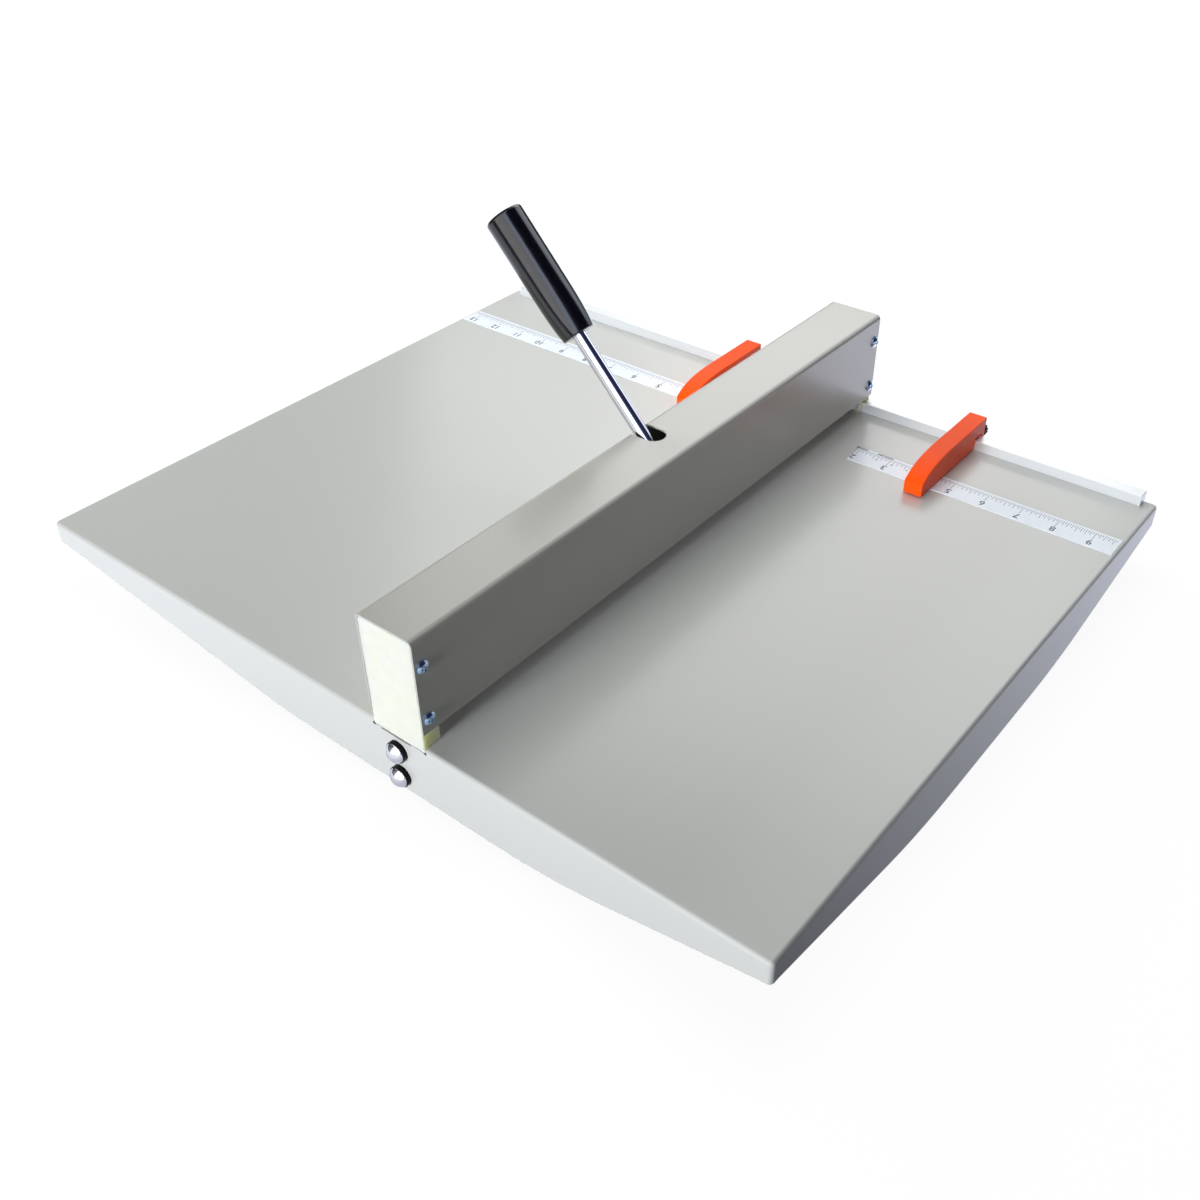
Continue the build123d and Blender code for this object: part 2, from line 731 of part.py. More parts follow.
# ---- Cam shaft, cams and lever
lean = math.radians(lever_lean)
lever_out = (-math.sin(lean), 0, math.cos(lean))
lever_pivot = (crease_x, lever_y, shaft_z)
lever_axis = Axis(lever_pivot, lever_out)
lever_station = Plane(origin=lever_pivot, x_dir=(0, 1, 0), z_dir=lever_out)
lever_section = half_section(lever_pivot, lever_out, (0, 1, 0))
shoulder = hub_diameter / 2 - hub_flat


def make_cam_shaft():
    shaft_half = block_inner + journal_depth - journal_end_gap
    with BuildPart() as cam_shaft:
        with BuildSketch(across(shaft_half)):
            with Locations((crease_x, shaft_z)):
                Circle(shaft_diameter / 2)
        extrude(amount=2 * shaft_half)
        chamfer(edges().filter_by(GeomType.CIRCLE), shaft_chamfer)
        with BuildSketch(lever_station.offset(shaft_diameter)):
            Circle(rod_stub_diameter / 2 + thread_gap)
        extrude(amount=-(shaft_diameter + rod_stub_depth + blind_gap), mode=Mode.SUBTRACT)
    save(cam_shaft, "cam_shaft")


def cam_edge_point(turn):
    """Point of the cam's working edge that meets the pad when the lever has turned this far.

    The edge is an involute of a circle of radius cam_rise, so the pad goes down in
    proportion to the lever's turn, and it always touches at the same distance from the axis.
    """
    reach = cam_base_radius + cam_rise * turn
    x = -reach * math.sin(turn) - cam_rise * math.cos(turn)
    z = -reach * math.cos(turn) + cam_rise * math.sin(turn)
    return (crease_x + x, shaft_z + z)


def make_press_cam(name, end):
    last_turn = math.radians(lever_swing + cam_run_out)
    edge = [cam_edge_point(last_turn * i / cam_steps) for i in range(cam_steps + 1)]
    bottom = (crease_x, shaft_z - cam_base_radius)
    nose_x, nose_z = edge[-1]
    away = math.atan2(nose_z - shaft_z, nose_x - crease_x)
    spread = math.acos(cam_base_radius / math.hypot(nose_z - shaft_z, nose_x - crease_x))
    touch = away - spread
    flank = (
        crease_x + cam_base_radius * math.cos(touch),
        shaft_z + cam_base_radius * math.sin(touch),
    )
    opposite = (crease_x + cam_base_radius, shaft_z)
    start_y = end * cam_y + cam_width / 2
    with BuildPart() as press_cam:
        with BuildSketch(across(start_y)):
            with BuildLine():
                Line(bottom, edge[0])
                Spline(*edge)
                Line(edge[-1], flank)
                ThreePointArc(flank, opposite, bottom)
            make_face()
            fillet(vertices().sort_by_distance(edge[-1])[0], cam_nose_radius)
        extrude(amount=cam_width)
        boss_y = end * (cam_y - cam_width / 2)
        with BuildSketch(across(boss_y)):
            with Locations((crease_x, shaft_z)):
                Circle(cam_boss_radius)
        extrude(amount=end * cam_boss_width)
        with BuildSketch(across(end * (cam_y + cam_width))):
            with Locations((crease_x, shaft_z)):
                Circle(shaft_diameter / 2 + shaft_fit)
        extrude(amount=end * (2 * cam_width + cam_boss_width), mode=Mode.SUBTRACT)
        with BuildSketch(level(shaft_z)):
            with Locations((crease_x, end * set_screw_y)):
                Circle(set_screw_diameter / 2 + thread_gap)
        extrude(amount=2 * cam_boss_radius, mode=Mode.SUBTRACT)
    save(press_cam, name)


def make_lever_hub():
    with BuildPart() as lever_hub:
        with BuildSketch(across(lever_y + hub_width / 2)):
            with Locations((crease_x, shaft_z)):
                Circle(hub_diameter / 2)
                Circle(shaft_diameter / 2 + shaft_fit, mode=Mode.SUBTRACT)
        extrude(amount=hub_width)
        with BuildSketch(lever_station.offset(shoulder)):
            Circle(rod_diameter / 2 + hub_flat_gap)
        extrude(amount=hub_diameter, mode=Mode.SUBTRACT)
        with BuildSketch(lever_station):
            Circle(rod_stub_diameter / 2 + thread_gap)
        extrude(amount=hub_diameter, mode=Mode.SUBTRACT)
        with BuildSketch(along(crease_x)):
            with Locations((lever_y, shaft_z)):
                Circle(set_screw_diameter / 2 + thread_gap)
        extrude(amount=hub_diameter, mode=Mode.SUBTRACT)
    save(lever_hub, "lever_hub")


def make_shaft_set_screws():
    """One set screw in each cam's boss and one in the lever hub, all bearing on the shaft."""
    bearing = shaft_diameter / 2 + set_screw_gap
    cam_screw = cam_boss_radius - set_screw_sunk - bearing
    hub_screw = hub_diameter / 2 - set_screw_sunk - bearing
    with BuildPart() as shaft_set_screws:
        for end in (-1, 1):
            centre = (crease_x, end * set_screw_y)
            with BuildSketch(level(shaft_z + bearing)):
                with Locations(centre):
                    Circle(set_screw_diameter / 2)
            extrude(amount=cam_screw)
            with BuildSketch(level(shaft_z + bearing + cam_screw)):
                with Locations(centre):
                    RegularPolygon(set_screw_socket / 2, 6, major_radius=False)
            extrude(amount=-cam_screw / 2, mode=Mode.SUBTRACT)
        with BuildSketch(along(crease_x + bearing)):
            with Locations((lever_y, shaft_z)):
                Circle(set_screw_diameter / 2)
        extrude(amount=hub_screw)
        with BuildSketch(along(crease_x + bearing + hub_screw)):
            with Locations((lever_y, shaft_z)):
                RegularPolygon(set_screw_socket / 2, 6, major_radius=False)
        extrude(amount=-hub_screw / 2, mode=Mode.SUBTRACT)
    save(shaft_set_screws, "shaft_set_screws")


def make_lever_rod():
    rod_radius = rod_diameter / 2
    stub_radius = rod_stub_diameter / 2
    with BuildPart() as lever_rod:
        with BuildSketch(lever_section):
            with BuildLine():
                Polyline(
                    (0, -rod_stub_depth),
                    (stub_radius, -rod_stub_depth),
                    (stub_radius, shoulder),
                    (rod_radius, shoulder),
                    (rod_radius, grip_start),
                    (stub_radius, grip_start),
                    (stub_radius, grip_start + grip_thread_depth - blind_gap),
                    (0, grip_start + grip_thread_depth - blind_gap),
                    close=True,
                )
            make_face()
        revolve(axis=lever_axis)
    save(lever_rod, "lever_rod")


def make_lever_grip():
    """Moulded grip: a straight barrel that draws in with a curve to its neck."""
    end = grip_start + grip_length
    straight_start = end - grip_straight
    radius = grip_diameter / 2
    neck = grip_neck_diameter / 2
    bore = rod_stub_diameter / 2 + thread_gap
    rim = end - grip_crown
    with BuildPart() as lever_grip:
        with BuildSketch(lever_section):
            with BuildLine():
                Polyline(
                    (0, end),
                    (0, grip_start + grip_thread_depth),
                    (bore, grip_start + grip_thread_depth),
                    (bore, grip_start),
                    (neck, grip_start),
                )
                Spline((neck, grip_start), (radius, straight_start), tangents=((grip_neck_slope, 1), (0, 1)))
                Line((radius, straight_start), (radius, rim))
                TangentArc((0, end), (radius, rim), tangent=(1, 0))
            make_face()
            fillet(vertices().sort_by_distance((radius, rim))[0], grip_edge_radius)
            fillet(vertices().sort_by_distance((neck, grip_start))[0], grip_neck_radius)
        revolve(axis=lever_axis)
    save(lever_grip, "lever_grip")


# ---- Springs and posts
def spring_wire(x, y):
    """Points along a spring's wire: hook round the lower post, coil, hook round the upper post."""
    radius = spring_coil_radius
    coil_height = spring_turns * spring_pitch
    hook_shift = radius - spring_wire_radius - post_diameter / 2 - post_gap
    upper_hook = upper_post_z - hook_shift
    lower_hook = lower_post_z + hook_shift
    coil_bottom = (upper_hook + lower_hook - coil_height) / 2
    step = 2 * math.pi / spring_steps
    hook_steps = 3 * spring_steps // 4
    points = []
    for i in range(hook_steps + 1):
        angle = step * (i - hook_steps)
        points.append((x, y + radius * math.cos(angle), lower_hook + radius * math.sin(angle)))
    for i in range(round(spring_turns * spring_steps) + 1):
        angle = math.pi / 2 + step * i
        rise = spring_pitch * i / spring_steps
        points.append((x + radius * math.cos(angle), y + radius * math.sin(angle), coil_bottom + rise))
    for i in range(hook_steps + 1):
        angle = step * i
        points.append((x + radius * math.cos(angle), y, upper_hook + radius * math.sin(angle)))
    return points


def make_return_spring(name, side, end):
    """Tension spring, one wire from hook to hook."""
    with BuildPart() as spring:
        with BuildLine() as wire:
            Polyline(*spring_wire(crease_x + side * spring_offset, end * spring_y))
        with BuildSketch(Plane(origin=wire.line @ 0, z_dir=wire.line % 0)):
            RegularPolygon(spring_wire_radius, 6)
        sweep(path=wire.line, transition=Transition.RIGHT)
    save(spring, name)


def make_spring_posts():
    """Headed pins: the upper four in the end blocks, the lower four in the beam's sides."""
    post_reach = spring_inset + spring_wire_radius + post_spare
    lower_reach = spring_offset - beam_width / 2 + spring_wire_radius + post_spare
    with BuildPart() as upper_spring_posts:
        for end in (-1, 1):
            for side in (-1, 1):
                centre = (crease_x + side * spring_offset, upper_post_z)
                with BuildSketch(across(end * (block_inner + post_set_depth))):
                    with Locations(centre):
                        Circle(post_diameter / 2)
                extrude(amount=end * (post_set_depth + post_reach + post_head_height))
                with BuildSketch(across(end * (block_inner - post_reach))):
                    with Locations(centre):
                        Circle(post_head_diameter / 2)
                extrude(amount=end * post_head_height)
    save(upper_spring_posts, "upper_spring_posts")
    with BuildPart() as lower_spring_posts:
        for side in (-1, 1):
            for end in (-1, 1):
                centre = (end * spring_y, lower_post_z)
                with BuildSketch(along(crease_x + side * (beam_width / 2 - post_set_depth))):
                    with Locations(centre):
                        Circle(post_diameter / 2)
                extrude(amount=side * (post_set_depth + lower_reach + post_head_height))
                with BuildSketch(along(crease_x + side * (beam_width / 2 + lower_reach))):
                    with Locations(centre):
                        Circle(post_head_diameter / 2)
                extrude(amount=side * post_head_height)
    save(lower_spring_posts, "lower_spring_posts")


# ---- Fence and rulers
def make_fence(name, side):
    inner = crease_x + side * fence_start
    outer = side * (half_length - fence_end_inset)
    with BuildPart() as fence:
        with BuildSketch(level(table_top)):
            with Locations(((inner + outer) / 2, (fence_inner + half_width) / 2)):
                Rectangle(abs(outer - inner), fence_width)
        extrude(amount=fence_height)
        chamfer(faces().sort_by(Axis.Z)[-1].edges(), fence_edge)
        with BuildSketch(level(table_top)):
            for x in fence_screw_places(side):
                with Locations((x, half_width - fence_screw_inset)):
                    Circle(fence_screw_diameter / 2 + thread_gap)
        extrude(amount=fence_screw_length - pan_sheet + blind_gap, mode=Mode.SUBTRACT)
    save(fence, name)


def make_fence_screws():
    with BuildPart() as fence_screws:
        for side in (-1, 1):
            for x in fence_screw_places(side):
                turned_screw(
                    (x, half_width - fence_screw_inset, table_under),
                    (0, 0, -1),
                    (1, 0, 0),
                    fence_screw_diameter / 2,
                    fence_screw_length,
                    fence_screw_head_diameter / 2,
                    fence_screw_head_height,
                    screw_edge_share,
                )
    save(fence_screws, "fence_screws")


def make_ruler(name, inner, outer):
    with BuildPart() as ruler:
        with BuildSketch(level(table_top)):
            with Locations(((inner + outer) / 2, ruler_inner_y + ruler_width / 2)):
                Rectangle(abs(outer - inner), ruler_width)
        extrude(amount=ruler_thickness)
    save(ruler, name)


# ---- Paper stops
def make_stop(name, x):
    """Stop that rides over the fence on a hook, with a curved back down to its nose."""
    underside = table_top + ruler_thickness + stop_lift
    back = fence_inner - stop_front_gap
    leg_front = half_width + stop_back_gap
    leg_back = leg_front + stop_leg_thickness
    top = table_top + stop_height
    crown = fence_inner - stop_crown_reach
    nose = fence_inner - stop_reach
    nose_top = table_top + stop_nose_height
    with BuildPart() as stop:
        with BuildSketch(along(x - stop_width / 2)):
            with BuildLine():
                Polyline(
                    (crown, top),
                    (leg_back, top),
                    (leg_back, table_top + stop_leg_bottom),
                    (leg_front, table_top + stop_leg_bottom),
                    (leg_front, table_top + stop_roof),
                    (back, table_top + stop_roof),
                    (back, underside),
                    (nose, underside),
                    (nose, nose_top),
                )
                Spline((nose, nose_top), (crown, top), tangents=((1, stop_nose_slope), (1, 0)))
            make_face()
        extrude(amount=stop_width)
        chamfer(faces().filter_by(Axis.X).edges(), stop_edge)
        with BuildSketch(across(leg_back + cut_margin)):
            with Locations((x, table_top + clamp_height)):
                Circle(clamp_screw_diameter / 2 + thread_gap)
        extrude(amount=stop_leg_thickness + 2 * cut_margin, mode=Mode.SUBTRACT)
    save(stop, name)


def make_stop_knob(name, x):
    """Fluted clamp screw through the leg of a stop, bearing on the back of the fence."""
    leg_back = half_width + stop_back_gap + stop_leg_thickness
    neck_front = leg_back + knob_gap
    knob_front = neck_front + knob_neck_length
    knob_back = knob_front + knob_thickness
    tip = half_width + clamp_tip_gap
    centre = (x, table_top + clamp_height)
    with BuildPart() as stop_knob:
        with BuildSketch(across(knob_back)):
            with Locations(centre):
                Circle(knob_diameter / 2)
        extrude(amount=knob_thickness)
        chamfer(edges().filter_by(GeomType.CIRCLE), knob_edge)
        with BuildSketch(across(knob_back + cut_margin)):
            with Locations(centre):
                with PolarLocations(knob_diameter / 2, knob_flutes):
                    Circle(knob_flute_radius)
        extrude(amount=knob_thickness + 2 * cut_margin, mode=Mode.SUBTRACT)
        with BuildSketch(across(knob_front)):
            with Locations(centre):
                Circle(knob_neck_diameter / 2)
        extrude(amount=knob_neck_length)
        with BuildSketch(across(neck_front)):
            with Locations(centre):
                Circle(clamp_screw_diameter / 2)
        extrude(amount=neck_front - tip)
    save(stop_knob, name)


# ---- Foot rails, feet and their screws
def make_foot_rail(name, side):
    """Hat-section rail under the table, brims against the sheet and crown downwards."""
    x = side * rail_spacing / 2
    brim_half = rail_crown_width / 2 + rail_brim
    crown_half = rail_crown_width / 2
    inside = crown_half - rail_sheet
    brim_under = table_under - rail_sheet
    wide = rail_bend_radius
    tight = rail_bend_radius - rail_sheet
    with BuildPart() as foot_rail:
        with BuildSketch(across(rail_length / 2)):
            with BuildLine():
                FilletPolyline(
                    (x - brim_half, brim_under),
                    (x - crown_half, brim_under),
                    (x - crown_half, rail_bottom),
                    (x + crown_half, rail_bottom),
                    (x + crown_half, brim_under),
                    (x + brim_half, brim_under),
                    radius=(tight, wide, wide, tight),
                )
                Line((x + brim_half, brim_under), (x + brim_half, table_under))
                FilletPolyline(
                    (x + brim_half, table_under),
                    (x + inside, table_under),
                    (x + inside, rail_bottom + rail_sheet),
                    (x - inside, rail_bottom + rail_sheet),
                    (x - inside, table_under),
                    (x - brim_half, table_under),
                    radius=(wide, tight, tight, wide),
                )
                Line((x - brim_half, table_under), (x - brim_half, brim_under))
            make_face()
        extrude(amount=rail_length)
        with BuildSketch(level(rail_bottom - cut_margin)):
            for end in (-1, 1):
                with Locations((x, end * (rail_length / 2 - foot_inset))):
                    Circle(foot_screw_diameter / 2 + thread_gap)
        extrude(amount=rail_sheet + 2 * cut_margin, mode=Mode.SUBTRACT)
    save(foot_rail, name)


def make_foot(name, side, end):
    """Rubber foot, wider at the top, with a recess below for its screw."""
    x = side * rail_spacing / 2
    y = end * (rail_length / 2 - foot_inset)
    top = foot_diameter / 2
    bottom = top - foot_taper
    recess = foot_recess_diameter / 2
    bore = foot_screw_diameter / 2 + through_gap
    with BuildPart() as foot:
        with BuildSketch(half_section((x, y, 0), (0, 0, 1), (1, 0, 0))):
            with BuildLine():
                Polyline(
                    (recess, 0),
                    (bottom, 0),
                    (top, foot_height),
                    (bore, foot_height),
                    (bore, foot_recess_depth),
                    (recess, foot_recess_depth),
                    close=True,
                )
            make_face()
            fillet(vertices().sort_by_distance((bottom, 0))[0], foot_edge_radius)
        revolve(axis=Axis((x, y, 0), (0, 0, 1)))
    save(foot, name)


def make_foot_screws():
    with BuildPart() as foot_screws:
        for side in (-1, 1):
            for end in (-1, 1):
                turned_screw(
                    (side * rail_spacing / 2, end * (rail_length / 2 - foot_inset), foot_recess_depth),
                    (0, 0, -1),
                    (1, 0, 0),
                    foot_screw_diameter / 2,
                    foot_height - foot_recess_depth + rail_sheet + foot_screw_end,
                    foot_screw_head_diameter / 2,
                    foot_screw_head_height,
                    screw_edge_share,
                )
    save(foot_screws, "foot_screws")


make_table_pan()
make_head_cover()
make_end_block("end_block_front", -1)
make_end_block("end_block_rear", 1)
make_cover_screws()
make_frame_bolts()
make_bolt_spacers()
make_anvil_beam()
make_crease_die()
make_press_beam()
make_wear_pad("wear_pad_front", -1)
make_wear_pad("wear_pad_rear", 1)
make_crease_blade()
make_blade_clamp()
make_cam_shaft()
make_press_cam("press_cam_front", -1)
make_press_cam("press_cam_rear", 1)
make_lever_hub()
make_shaft_set_screws()
make_lever_rod()
make_lever_grip()
for end_name, end_sign in (("front", -1), ("rear", 1)):
    for side_name, side_sign in (("left", -1), ("right", 1)):
        make_return_spring(f"return_spring_{end_name}_{side_name}", side_sign, end_sign)
        make_foot(f"foot_{end_name}_{side_name}", side_sign, end_sign)
make_spring_posts()
make_fence("fence_left", -1)
make_fence("fence_right", 1)
make_fence_screws()
make_ruler("ruler_left", crease_x - ruler_left_start, ruler_end_inset - half_length)
make_ruler("ruler_right", crease_x + ruler_right_start, half_length - ruler_end_inset)
make_stop("stop_left", stop_left_x)
make_stop("stop_right", stop_right_x)
make_stop_knob("stop_knob_left", stop_left_x)
make_stop_knob("stop_knob_right", stop_right_x)
make_foot_rail("foot_rail_left", -1)
make_foot_rail("foot_rail_right", 1)
make_foot_screws()
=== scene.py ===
import json
import math
import bmesh
import bpy
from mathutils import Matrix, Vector


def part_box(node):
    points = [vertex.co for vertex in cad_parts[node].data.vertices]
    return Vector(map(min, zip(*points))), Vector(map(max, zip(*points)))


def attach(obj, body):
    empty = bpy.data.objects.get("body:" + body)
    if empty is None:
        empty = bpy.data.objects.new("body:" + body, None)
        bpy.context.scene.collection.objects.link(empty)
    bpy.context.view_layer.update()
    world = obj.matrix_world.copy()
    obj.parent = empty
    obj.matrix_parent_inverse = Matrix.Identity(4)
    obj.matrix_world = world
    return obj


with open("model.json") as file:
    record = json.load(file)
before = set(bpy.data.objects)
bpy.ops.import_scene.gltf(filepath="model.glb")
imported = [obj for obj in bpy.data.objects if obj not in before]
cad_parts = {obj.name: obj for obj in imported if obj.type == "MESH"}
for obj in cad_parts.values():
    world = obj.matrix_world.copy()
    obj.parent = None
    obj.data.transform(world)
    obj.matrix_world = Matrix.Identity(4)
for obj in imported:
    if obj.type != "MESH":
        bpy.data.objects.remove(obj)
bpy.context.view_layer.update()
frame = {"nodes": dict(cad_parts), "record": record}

# Looks of a desktop paper creasing machine. Metres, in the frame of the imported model:
# +X is the way the sheet is fed, +Y runs along the crease towards the fence, +Z is up.

MM = 0.001  # metres, as all lengths here
MICRON = 0.000001

# ---- Camera, as the object is seen in its picture
CAMERA_PLACE = (0.46575, -0.56012, 0.53466)
CAMERA_TURN = (52.296, 1.069, 39.213)  # degrees
CAMERA_LENS = 38.16  # millimetres, on a sensor as wide as this
CAMERA_SENSOR = 36.0
CAMERA_REACH = (0.01, 60.0)  # nearest and farthest that it sees

# ---- Lamps and the room that gloss and metal mirror; a radiance of 1 would show as white
WHITE = (1.0, 1.0, 1.0)
SOFT, MIRRORED = range(2)  # a lamp lights the object, or only shows in its gloss
LAMPS = (  # name, place, width, height, radiance, colour and kind
    ("front_box", (0.05, -3.20, 0.50), 1.0, 0.9, 45.0, (0.97, 0.99, 1.03), SOFT),
    ("left_box", (-2.40, 0.30, 0.80), 1.4, 0.9, 13.7, WHITE, SOFT),
    ("top_box", (-0.25, 0.40, 1.30), 1.2, 0.9, 3.2, WHITE, SOFT),
    ("back_box", (0.30, 1.90, 0.80), 1.6, 0.8, 2.5, WHITE, SOFT),
    ("back_window", (0.30, 1.90, 0.80), 1.6, 0.8, 1.5, WHITE, MIRRORED),
    ("back_left_window", (-0.55, 1.05, 0.95), 1.3, 0.9, 1.6, WHITE, MIRRORED),
    ("near_back_window", (-0.10, 0.90, 0.75), 1.2, 0.6, 0.7, WHITE, MIRRORED),
)
LAMP_TARGET = (0.0, 0.0, 0.05)
ROOM_FILL = (0.025, 0.025, 0.028, 1.0)
ROOM_WALLS = (  # the way to the middle of each wall, and its colour
    ((0.0, 1.0, 0.0), (0.05, 0.05, 0.06)),
    ((-0.7, 0.5, 0.5), (0.05, 0.05, 0.05)),
    ((0.0, -1.0, 0.0), (0.60, 0.60, 0.62)),
    ((1.0, 0.0, 0.0), (0.01, 0.01, 0.07)),
    ((0.0, 0.0, 1.0), (0.03, 0.03, 0.05)),
)
WALL_FOCUS = 2.0  # a higher power makes each wall's patch smaller
ROOM_WINDOWS = (  # azimuth and half width in degrees, and colour
    (-80, 40, (1.3, 1.27, 1.30)),
    (-51, 9, (0.2, 0.5, 1.1)),
    (74, 16, (0.75, 0.85, 1.0)),
)
WINDOW_FADE = 4  # degrees

# ---- Floor: what gloss and metal mirror of it
FLOOR_BEHIND = (1.85, 1.93, 2.20, 1.0)
FLOOR_LEFT = (0.90, 0.94, 1.06, 1.0)
FLOOR_RIGHT = (0.15, 0.15, 0.18, 1.0)
FLOOR_AHEAD = (1.0, 1.02, 1.08, 1.0)
FLOOR_FAR = (0.12, 0.12, 0.16, 1.0)
LEFT_TO_RIGHT = (-0.20, 0.30)  # metres along X, from the left colour to the right one
FRONT_TO_BEHIND = (-0.25, 0.60)  # metres along Y
TABLE_TO_AHEAD = (-0.24, -0.34)  # metres along Y
NEAR_TO_FAR = (0.8, 1.2)  # metres from the middle

# ---- Floor: its own colours under stray light, and what the camera sees of it
FLOOR_GREY = (0.45, 0.45, 0.46, 1.0)
FLOOR_DARK = (0.12, 0.12, 0.14, 1.0)
FLOOR_PALE = (0.90, 0.90, 0.90, 1.0)
FLOOR_WHITE = (1.04, 1.04, 1.04, 1.0)
FLOOR_HORIZON = (1.12, 1.12, 1.12, 1.0)
WHITE_TO_HORIZON = (0.8, 2.2)  # metres from the middle
FLOOR_GLOW = 0.9  # share of the floor's look that doesn't depend on light or shadow
FLOOR_HALF = 14.0  # half of its side
FLOOR_TOP = -0.0003  # just under the feet, so that no two faces lie in one plane

# ---- Rule marks
INCH = 0.0254
RULE_ZERO = {"ruler_left": 0.0471, "ruler_right": 0.0463}  # place of each zero along X
INK_THICKNESS = 0.00002
TICK_WIDTH = 0.00034
TICK_LENGTHS = ((16, 0.0095), (8, 0.0070), (4, 0.0060), (2, 0.0052), (1, 0.0030))  # of sixteenths
TICK_INSET = 0.0019
TICK_END_GAP = 0.0012  # from the end of the rule to its last tick, at least
NUMERAL_HEIGHT = 0.0059
NUMERAL_INSET = 0.0056
NUMERAL_WEIGHT = 0.0001  # how far the outline of a numeral is set out
FONT_SIZE = 1.37  # times the height of its numerals
FONT_STEPS = 4  # of a curve in a numeral
FINE_SCALES = ((1.84, 24), (2.53, 32))  # inches to the first mark, and number of marks
FINE_STEP = INCH / 64
FINE_TICK_WIDTH = 0.0002448
FINE_TICK_ENDS = (-0.0003, 0.0016)  # from the line where the other ticks start
SMALL_NUMERALS = ((2.64, "4"), (3.12, "8"), (3.60, "4"))  # inches, and text
SMALL_NUMERAL_HEIGHT = 0.0024
SMALL_NUMERAL_INSET = 0.0068  # from the line where the ticks start


# ---- Colours and shader nodes
def srgb(red, green, blue):
    """Linear colour of a screen colour given from 0 to 255."""
    def linear(value):
        share = value / 255
        return share / 12.92 if share <= 0.04045 else ((share + 0.055) / 1.055) ** 2.4
    return (linear(red), linear(green), linear(blue), 1.0)


def shaded(colour, factor):
    """The same colour, lighter or darker."""
    return tuple(min(1.0, channel * factor) for channel in colour[:3]) + (1.0,)


def add(tree, kind, inputs=None, **settings):
    """A new node with its settings made, and its inputs set or linked by name or number."""
    node = tree.nodes.new(kind)
    for key, value in settings.items():
        setattr(node, key, value)
    for key, value in (inputs or {}).items():
        if isinstance(value, bpy.types.NodeSocket):
            tree.links.new(value, node.inputs[key])
        else:
            node.inputs[key].default_value = value
    return node


def mapped(tree, stretch=(1.0, 1.0, 1.0)):
    """Place on the object in metres, with the pattern longer along a stretched axis."""
    place = add(tree, "ShaderNodeTexCoord").outputs["Object"]
    scale = [1 / share for share in stretch]
    return add(tree, "ShaderNodeMapping", {"Vector": place, "Scale": scale}).outputs["Vector"]


def noise(tree, size, detail=2.0, stretch=(1.0, 1.0, 1.0)):
    """Soft noise with features of about this size in metres."""
    inputs = {"Vector": mapped(tree, stretch), "Scale": 1 / size, "Detail": detail}
    return add(tree, "ShaderNodeTexNoise", inputs).outputs["Fac"]


def ranged(tree, value, low, high, start=0.3, end=0.7):
    """The middle range of a noise, spread from low to high."""
    inputs = {"Value": value, "From Min": start, "From Max": end, "To Min": low, "To Max": high}
    return add(tree, "ShaderNodeMapRange", inputs).outputs["Result"]


def mixed(tree, share, first, second):
    """Two colours mixed by a share from 0 to 1."""
    node = add(tree, "ShaderNodeMix", {0: share, 6: first, 7: second}, data_type="RGBA")
    return node.outputs[2]


def bump(tree, height, depth, below=None):
    """A relief of this depth in metres, over another one if there is one below."""
    inputs = {"Height": height, "Distance": depth, "Strength": 1.0}
    if below is not None:
        inputs["Normal"] = below
    return add(tree, "ShaderNodeBump", inputs).outputs["Normal"]


def new_material(name, **values):
    """Material on one Principled shader, with its plain values set on the shader itself."""
    material = bpy.data.materials.new(name)
    material.use_nodes = True
    shader = material.node_tree.nodes["Principled BSDF"]
    for key, value in values.items():
        shader.inputs[key.replace("_", " ")].default_value = value
    return material, material.node_tree, shader


def feed(tree, shader, **sources):
    """Link sockets to the shader's inputs."""
    for key, source in sources.items():
        tree.links.new(source, shader.inputs[key.replace("_", " ")])


# ---- Materials
def powder_coat(name, colour, coat):
    """Semi-gloss enamel on sheet steel: fine fleck, orange peel and a trace of cloudiness."""
    material, tree, shader = new_material(name, Coat_Weight=coat, Coat_Roughness=0.21)
    cloud = ranged(tree, noise(tree, 120 * MM, detail=0.0), 0, 1)
    grain = ranged(tree, noise(tree, 0.7 * MM, detail=3.0), 0, 1)
    base = mixed(tree, cloud, shaded(colour, 0.992), shaded(colour, 1.008))
    fleck = mixed(tree, grain, shaded(colour, 0.985), shaded(colour, 1.015))
    peel = bump(tree, noise(tree, 3 * MM, detail=1.0), 5 * MICRON)
    feed(
        tree,
        shader,
        Base_Color=mixed(tree, 0.4, base, fleck),
        Roughness=ranged(tree, noise(tree, 2 * MM, detail=2.0), 0.36, 0.40),
        Normal=peel,
    )
    return material


def cast_nylon():
    """Ivory nylon with light below its surface and faint milling lines; faces pointing along X carry a
    painted yellow glow in place of light shining through the block.
    """
    ivory = srgb(212, 214, 203)
    # painted glow: a yellower colour for the faces that point along X, standing in for light that comes
    # through the nylon
    painted_glow = srgb(238, 241, 198)
    material, tree, shader = new_material("ivory_nylon", Subsurface_Weight=1.0, Subsurface_Scale=6 * MM)
    shader.inputs["Subsurface Radius"].default_value = (1.0, 1.0, 0.7)
    facing = add(tree, "ShaderNodeTexCoord").outputs["Normal"]
    sideways = add(tree, "ShaderNodeSeparateXYZ", {"Vector": facing}).outputs["X"]
    # mask of the faces that point along X, where the painted glow goes
    side = add(tree, "ShaderNodeMath", {0: sideways}, operation="ABSOLUTE").outputs[0]
    side = ranged(tree, side, 0, 1, 0.6, 0.95)
    cloud = ranged(tree, noise(tree, 8 * MM, detail=3.0), 0, 1)
    lines = noise(tree, 0.4 * MM, detail=2.0, stretch=(30.0, 1.0, 1.0))
    feed(
        tree,
        shader,
        Base_Color=mixed(tree, side, mixed(tree, cloud, shaded(ivory, 0.97), shaded(ivory, 1.02)), painted_glow),
        Roughness=ranged(tree, lines, 0.40, 0.50),
        Normal=bump(tree, lines, 6 * MICRON),
    )
    return material


